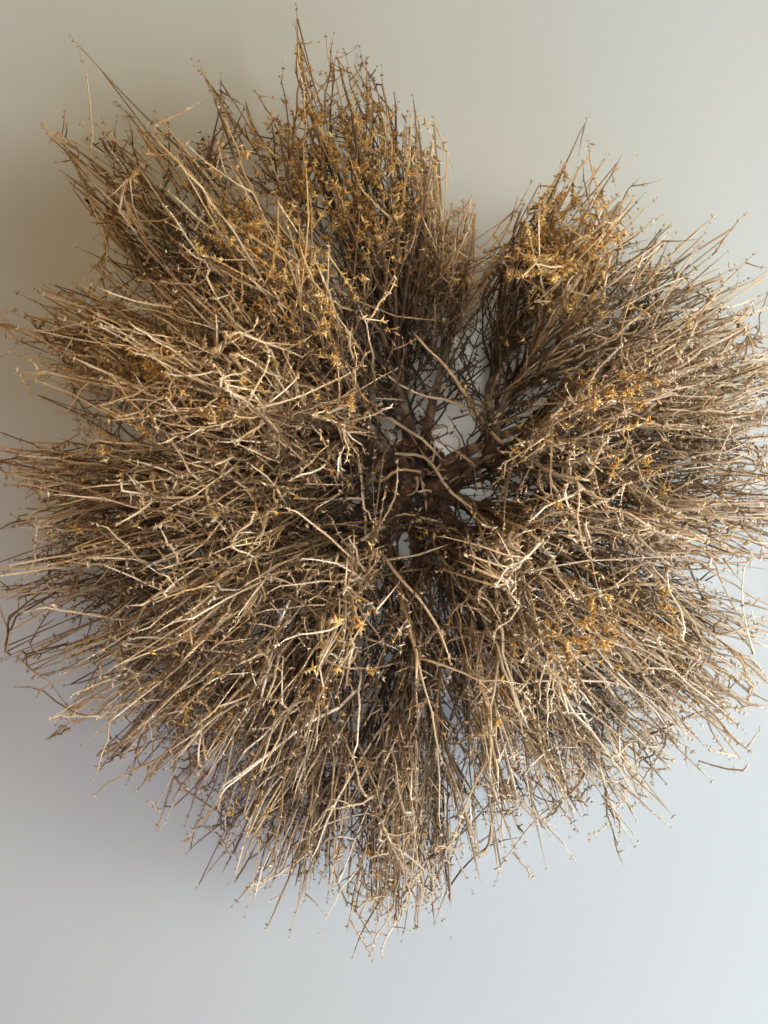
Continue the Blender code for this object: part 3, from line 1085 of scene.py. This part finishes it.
def grow(spray, batch, spread, stems, branches, shoots, twiglets, flowers):
    """The whole of a spray."""
    # the square root spreads the stems' tips evenly over the outside
    shares = np.sqrt((np.arange(stems) + rng.uniform(0.2, 0.8, stems)) / stems)
    heads = off_axis(np.repeat(spray.heading[None], stems, 0), shares * spray.width * spread)
    heads[:, 2] = np.abs(heads[:, 2])
    # the sprig stands in the notch, so its own solid says how far it reaches
    limit = spray.reach / reach_of(spray.heading[None]) if spray is sprig else 1.0
    outside = reach_of(heads) * rng.uniform(*STEM_REACH, stems) * limit
    tips = HEART + heads * outside[:, None]
    limb = np.repeat(spray.limb[None], stems, 0)
    starts, run = at_share(limb, np.arange(stems), rng.uniform(*STEM_STARTS, stems))
    length = np.linalg.norm(tips - starts, axis=1)[:, None]
    leave = unit(run + unit(tips - starts) * STEM_PULL) * length
    arrive = unit(heads) * length * STEM_PULL
    stem_paths = hermite(starts, leave, tips, arrive, STEM_RINGS)
    stem_paths = settled(stem_paths, 0.0010, 0.0005)
    stem_radii = tapered(stems, STEM_RINGS, *STEM_RADII)
    batch.sweep(stem_paths, stem_radii, age_and_shade_of(stem_paths, bleach_of(stems)), tone_of(tips), 4)

    branch_paths = side_twigs(batch, stem_paths, branches, BRANCH, 0.04)
    inner_paths = side_twigs(batch, limb, INNER_TWIGS, INNER)
    twigs = np.concatenate([branch_paths, inner_paths])
    on_branches = side_twigs(batch, twigs, int(shoots * 0.75), SHOOT)
    on_stems = side_twigs(batch, stem_paths, int(shoots * 0.25), SHOOT, 0.2)
    shoot_paths = np.concatenate([on_branches, on_stems])
    on_shoots = side_twigs(batch, shoot_paths, int(twiglets * 0.6), TWIGLET)
    on_twigs = side_twigs(batch, twigs, int(twiglets * 0.4), TWIGLET)
    twiglet_paths = np.concatenate([on_shoots, on_twigs])

    add_nodes(batch, stem_paths, 12, 0.3)
    add_nodes(batch, twigs, 10, 0.1)
    add_nodes(batch, shoot_paths, 6, 0.1)
    add_nodes(batch, twiglet_paths, 1, 0.3)
    add_ends(batch, shoot_paths)
    add_ends(batch, twiglet_paths[::2])
    add_flowers(batch, twiglet_paths, flowers)


def add_twig_piece(batch, name, *replaced):
    """One finished piece of twigs. Returns how many triangles it has."""
    mesh = batch.mesh(name)
    piece = bpy.data.objects.new(name, mesh)
    scene.collection.objects.link(piece)
    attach(piece, "root")
    if replaced:
        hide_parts(*replaced)
    return len(mesh.polygons)


total = 0
for spray in sprays:
    batch = Batch()
    if spray is sprig:
        grow(spray, batch, 1.0, stems=1, branches=3, shoots=9, twiglets=26, flowers=10)
    else:
        golden = float(np.clip((spray.heading[1] - GOLDEN_FROM) / GOLDEN_SPAN, 0.0, 1.0))
        thin = float(np.clip(spray.heading[0] / THIN_HEADING, 0.0, 1.0))
        shoots, twiglets, spread = (
            plain + (gold - plain) * golden for plain, gold in (SHOOTS, TWIGLETS, SPREAD)
        )
        shoots = int(shoots * (1.0 - THINNING[0] * thin))
        twiglets = int(twiglets * (1.0 - THINNING[1] * thin))
        grow(spray, batch, spread, STEMS, BRANCHES, shoots, twiglets, FLOWER_TRIES)
    total += add_twig_piece(batch, spray.name + "_twigs", spray.name)
print(total, "triangles of twigs")

# %% [markdown]
# ## Bleached outer twigs
#
# Over the dense inner twigs lie long bleached ones that the sun has reached: they leave the upper
# limbs near the crown and sweep down over the dome to its edge. A few more lie crooked across the
# crown, so these are laid out one by one. Short, dead, curled shoots stand on the crown itself.

# %% Sweeping outer twigs
OUTER_COUNT = 64
OUTER_BLEACH = 1.35
OUTER_AGE = 0.12  # added to the age of the outer twigs
OUTER_COOLNESS = 0.25
UPPER_RISE = 0.45  # the outer twigs leave the limbs whose sprays rise more steeply than this
CROOKED_RINGS = 18
CROWN_SHOOTS = 42
CROWN_SHOOT_RISE = 0.004  # they stand on the crown's upper side, above its heart
CROWN_SHOOT_RINGS = 9
CROWN_SHOOT_LENGTHS = (0.012, 0.040)
CROWN_SHOOT_AGES = (0.42, 0.76)


def outer_twigs():
    """Long pale twigs from the upper limbs, down over the outside of the bush."""
    upper = [s for s in full_sprays if s.heading[2] > UPPER_RISE]
    limbs = np.array([s.limb for s in upper])
    which = rng.integers(0, len(upper), OUTER_COUNT)
    starts, run = at_share(limbs, which, rng.uniform(0.5, 0.95, OUTER_COUNT))
    lean = off_axis(unit(run + outward(starts)), rng.uniform(0.1, 0.5, OUTER_COUNT))
    heads = np.array([upper[k].heading for k in which])
    heads = off_axis(heads, rng.uniform(0.1, 0.5, OUTER_COUNT))
    heads[:, 2] = np.maximum(heads[:, 2] - rng.uniform(0.1, 0.5, OUTER_COUNT), 0.12)
    heads = unit(heads)
    shares = rng.uniform(0.78, 1.02, OUTER_COUNT)
    ends = HEART + heads * (reach_of(heads) * shares)[:, None]
    length = np.linalg.norm(ends - starts, axis=1)[:, None]
    down = unit(heads - np.array((0.0, 0.0, 0.5)))
    paths = hermite(starts, lean * length * 1.3, ends, down * length, 14)
    return settled(paths, step=0.0013, zigzag=0.0006)


CROOKED = (
    # points in millimetres from the heart, from the root of the twig to its tip
    ((-35, 20, 85), (-88, 40, 120), (-125, 35, 135), (-155, 56, 135)),
    ((-45, 35, 80), (-82, 34, 125), (-96, 14, 140), (-118, -14, 145)),
    ((-30, -15, 100), (-80, -16, 135), (-96, -44, 145), (-112, -52, 150)),
    ((4, 14, 60), (18, -10, 85), (34, -24, 95), (100, -8, 100)),
    ((-60, 62, 55), (-30, 42, 70), (0, 24, 75), (16, 8, 72)),
    ((-20, -30, 110), (-60, -55, 140), (-78, -78, 150), (-90, -130, 150)),
    ((-110, -54, 130), (-60, -52, 140), (-10, -50, 135), (20, -40, 125)),
    ((-40, 28, 90), (-36, 2, 110), (-34, -24, 112), (-30, -50, 108)),
    ((45, 30, 75), (22, 44, 90), (-4, 48, 92), (-22, 60, 100)),
    ((60, 10, 80), (40, 26, 95), (18, 60, 100), (-6, 84, 105)),
    ((-50, 0, 60), (-26, -6, 75), (-12, 4, 82), (4, 0, 76)),
    ((30, -45, 70), (12, -30, 85), (-10, -24, 90), (-30, -30, 92)),
)


def crooked_twigs():
    """The crooked twigs, each drawn through its points from the limb that is nearest to it."""
    limb_points = np.concatenate([s.limb for s in full_sprays])
    paths = []
    for corners in CROOKED:
        corners = np.array(corners) / 1000.0 + HEART
        root = limb_points[np.linalg.norm(limb_points - corners[0], axis=1).argmin()]
        corners = np.concatenate([root[None], corners])
        run = np.linalg.norm(np.diff(corners, axis=0), axis=1)
        along = np.concatenate([[0.0], np.cumsum(run)]) / run.sum()
        shares = np.linspace(0.0, 1.0, CROOKED_RINGS)
        path = np.stack([np.interp(shares, along, corners[:, k]) for k in range(3)], axis=1)
        paths.append(path)
    paths = np.array(paths)
    # each point is drawn towards its neighbours, which rounds the corners
    rounded = paths.copy()
    rounded[:, 1:-1] = (paths[:, :-2] + 2.0 * paths[:, 1:-1] + paths[:, 2:]) / 4.0
    return rounded + rng.normal(size=rounded.shape) * 0.0004


def crown_shoots(batch):
    """Short, curled, dead shoots over the hollows of the crown."""
    places, normals = vertex_arrays(crown.data)
    upper = np.flatnonzero(places[:, 2] > HEART[2] + CROWN_SHOOT_RISE)
    chosen = rng.choice(upper, CROWN_SHOOTS)
    starts = places[chosen] - normals[chosen] * 0.001
    length = rng.uniform(*CROWN_SHOOT_LENGTHS, (CROWN_SHOOTS, 1))
    leave = off_axis(normals[chosen], rng.uniform(0.2, 1.0, CROWN_SHOOTS))
    ends = starts + off_axis(normals[chosen], rng.uniform(0.6, 1.3, CROWN_SHOOTS)) * length
    arrive = unit(rng.normal(size=(CROWN_SHOOTS, 3)))
    paths = hermite(starts, leave * length * 1.5, ends, arrive * length * 1.3, CROWN_SHOOT_RINGS)
    paths[..., 2] = np.maximum(paths[..., 2], FLOOR_CLEARANCE)
    ages_and_shade = rng.uniform(*CROWN_SHOOT_AGES, (CROWN_SHOOTS, 1))
    ages_and_shade = np.repeat(ages_and_shade, CROWN_SHOOT_RINGS, axis=1)
    tones = rng.uniform(0.05, 0.5, CROWN_SHOOTS)
    radii = tapered(CROWN_SHOOTS, CROWN_SHOOT_RINGS, 0.0010, 0.0005)
    batch.sweep(paths, radii, ages_and_shade, tones)


def dress(batch, paths, radii, sides, shoots, least_age_and_shade=0.0):
    """Sweeps long pale twigs and gives them shoots, twiglets and bracts."""
    ages_and_shade = np.clip(age_and_shade_of(paths, OUTER_BLEACH) + OUTER_AGE, least_age_and_shade, TWIG_TOP)
    tones = np.clip(tone_of(paths[:, -1]) - OUTER_COOLNESS, 0.02, 0.9)
    batch.sweep(paths, tapered(len(paths), paths.shape[1], *radii), ages_and_shade, tones, sides)
    shoot_paths = side_twigs(batch, paths, shoots, SHOOT)
    twiglet_paths = side_twigs(batch, shoot_paths, shoots, TWIGLET)
    add_nodes(batch, paths, 12, 0.1)
    add_nodes(batch, shoot_paths, 5, 0.1)
    add_nodes(batch, twiglet_paths, 1, 0.3)
    add_ends(batch, paths)
    add_ends(batch, shoot_paths)


batch = Batch()
dress(batch, outer_twigs(), (0.00130, 0.00060), sides=3, shoots=120)
dress(batch, crooked_twigs(), (0.00135, 0.00070), sides=4, shoots=26, least_age_and_shade=0.56)
crown_shoots(batch)
total += add_twig_piece(batch, "outer_twigs")
print(total, "triangles with the outer twigs")
